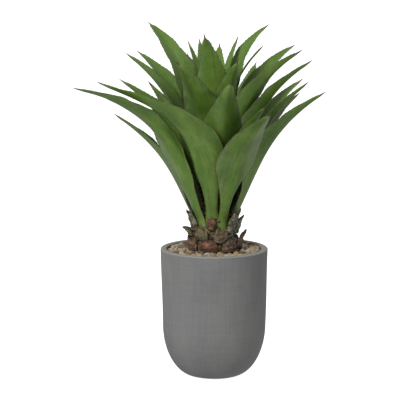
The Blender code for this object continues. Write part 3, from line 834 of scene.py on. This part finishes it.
def pebble(chance, detail):
    """Points and faces of one water-worn stone about the origin, about 1 across."""
    sketch = bmesh.new()
    bmesh.ops.create_icosphere(sketch, subdivisions=detail, radius=0.5)
    seed = chance.uniform(0, 900)
    shift = Vector((seed, seed * 0.7, seed * 1.3))
    cuts = [(Vector((chance.gauss(0, 1), chance.gauss(0, 1), chance.gauss(0, 1))).normalized(),
             chance.uniform(0.27, 0.42)) for _ in range(9)]
    for vertex in sketch.verts:
        for normal, limit in cuts:
            over = vertex.co.dot(normal) - limit
            if over > 0:
                vertex.co -= normal * over * 0.95
        swell = 0.16 * noise.noise(vertex.co * 2.6 + shift)
        vertex.co *= 1 + swell + 0.05 * noise.noise(vertex.co * 7 + shift)
    points = np.array([vertex.co[:] for vertex in sketch.verts])
    faces = [[vertex.index for vertex in face.verts] for face in sketch.faces]
    sketch.free()
    return points, faces


def scatter(chance, count, sizes, inner, outer, spacing):
    """Places for stones in a ring, none nearer another than their sizes allow."""
    kept = []
    for size in sorted((chance.uniform(*sizes) for _ in range(count)), reverse=True):
        for _ in range(60):
            radius = math.sqrt(mix((inner + size * 0.4) ** 2, (outer - size * 0.5) ** 2, chance.random()))
            angle = chance.uniform(0, math.tau)
            x, y = radius * math.sin(angle), -radius * math.cos(angle)
            if all(math.hypot(x - a, y - b) > (size + other) / 2 * spacing for a, b, other in kept):
                kept.append((x, y, size))
                break
    return kept


def build_gravel(material):
    """Single stones in three layers over grit."""
    chance = random.Random(21)
    inner, outer = 0.050, bore_radius(GRAVEL_TOP) - 0.0005
    points, faces, stones, place = [], [], [], []

    def add(shape, stone):
        corners, sides = shape
        start = sum(len(part) for part in points)
        points.append(corners)
        faces.extend([[start + i for i in side] for side in sides])
        stones.append(np.tile(stone, (len(corners), 1)))

    for count, sizes, spacing, level, detail, lift in GRAVEL_LAYERS:
        for x, y, size in scatter(chance, count, sizes, inner, outer, spacing):
            corners, sides = pebble(chance, detail)
            long = chance.uniform(1.0, 1.35)
            flat = chance.uniform(0.55, 0.85)
            corners = corners * (size * long, size / long * 1.1, size * flat)
            turn = Matrix.Rotation(chance.uniform(0, math.tau), 3, "Z")
            roll = Matrix.Rotation(chance.gauss(0, STONE_TILT), 3, "X")
            pitch = Matrix.Rotation(chance.gauss(0, STONE_TILT), 3, "Y")
            corners = corners @ np.array(roll @ pitch @ turn).T
            top = GRAVEL_TOP + level + chance.uniform(-0.0012, 0.0016) + 0.0030 * lift
            corners += (x, y, top - corners[:, 2].max() * 0.55)
            reach = np.hypot(corners[:, 0], corners[:, 1])
            over = np.maximum(reach / outer, 1)[:, None]
            corners[:, :2] /= over
            tone = chance.random()
            warmth = max(chance.gauss(0.3, 0.4), 0)
            shadow = lift * 0.7 + 0.3
            add((corners, sides), (tone, min(warmth, 1), shadow))
    rings, steps = 12, 120
    turns = np.arange(steps) * math.tau / steps
    bed = []
    for radius in np.linspace(outer, inner - 0.004, rings):
        grit = np.full(steps, GRAVEL_TOP - GRIT_DEPTH)
        spots = np.stack((np.sin(turns) * radius, -np.cos(turns) * radius, grit), 1)
        spots[:, 2] += rough(spots, 220, 4) * 0.0012
        bed.append(spots)
    # the grit bed gets painted shade of 0.3
    add((np.concatenate(bed), [list(face) for face in ring_faces(rings, steps)]), (0.1, 0.0, 0.3))
    points = np.concatenate(points)
    attributes = {"stone": np.concatenate(stones), "place": points}
    piece = make_piece("gravel", points, faces, material, attributes)
    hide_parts("gravel_bed")
    return piece


# ---------------------------------------------------------------- scene

def set_camera():
    view = bpy.data.cameras.new("camera")
    view.sensor_width = 36
    view.lens = 157.41
    view.clip_end = 100
    camera = bpy.data.objects.new("camera", view)
    camera.location = (-0.0331, -4.0, 1.04136)
    camera.rotation_euler = (math.radians(81.056), 0, 0)
    bpy.context.scene.collection.objects.link(camera)
    bpy.context.scene.camera = camera


def add_light(name, place, target, size, watts):
    lamp = bpy.data.lights.new(name, "AREA")
    lamp.shape = "DISK"
    lamp.size = size
    lamp.energy = watts
    light = bpy.data.objects.new(name, lamp)
    light.location = place
    light.rotation_euler = (Vector(target) - Vector(place)).to_track_quat("-Z", "Y").to_euler()
    bpy.context.scene.collection.objects.link(light)


def set_studio():
    """A white bowl all round the plant, one soft lamp from the upper left and an even white room."""
    settings = {"Roughness": 0.9, "Emission Strength": 0.9, "Emission Color": (1, 1, 1, 1)}
    floor = Finish("studio_floor", settings)
    grain = floor.clouds(floor.node("TexCoord", {}, {}, "Object"), 6.0, 2)
    floor.skin(floor.ramp(grain, [(0.0, (0.55, 0.55, 0.55, 1)), (1.0, (0.60, 0.60, 0.60, 1))]),
               0.85 + 0.05 * grain, grain, 0.02, 0.001)
    angles = np.linspace(0.1, math.pi / 2, 12)
    outline = [(2.0, 0.0), (6.0, 0.0)]
    outline += [(6.0 + 3.0 * math.sin(a), 3.0 - 3.0 * math.cos(a)) for a in angles]
    outline += [(9.0 * math.cos(a), 3.0 + 9.0 * math.sin(a)) for a in angles[:-1]]
    steps = 96
    points = [(radius * math.sin(math.tau * i / steps), radius * math.cos(math.tau * i / steps), z)
              for radius, z in outline for i in range(steps)]
    rows = len(outline)
    faces = ring_faces(rows, steps) + [tuple(range(steps)), tuple(range((rows - 1) * steps, rows * steps))]
    mesh = bpy.data.meshes.new("studio_floor")
    mesh.from_pydata(points, [], faces)
    mesh.materials.append(floor.material)
    bowl = bpy.data.objects.new("studio_floor", mesh)
    bpy.context.scene.collection.objects.link(bowl)
    bowl.visible_diffuse = False
    bowl.visible_glossy = False
    bowl.visible_shadow = False
    world = bpy.data.worlds.new("studio")
    world.use_nodes = True
    world.node_tree.nodes["Background"].inputs["Color"].default_value = (1, 1, 1, 1)
    world.node_tree.nodes["Background"].inputs["Strength"].default_value = 0.62
    bpy.context.scene.world = world
    add_light("key", (-2.05, -3.05, 3.0), (0, 0, 0.5), 1.4, 168)
    bpy.context.scene.view_settings.view_transform = "Standard"


def main():
    set_camera()
    set_studio()
    leaf = leaf_finish()
    stump = stump_finish()
    build_planter(clay_finish())
    build_gravel(stone_finish())
    build_trunk(stump)
    NODES["soil"].data.materials.clear()
    NODES["soil"].data.materials.append(mix_finish())
    for index, node in enumerate(sorted(n for n in NODES if n.startswith("leaf_stub"))):
        build_stump(node, index, stump)
    for index, node in enumerate(sorted(n for n in NODES if n.startswith("leaf_") and n[5:].isdigit())):
        build_blade(node, index, leaf)
    build_spear(leaf)


main()
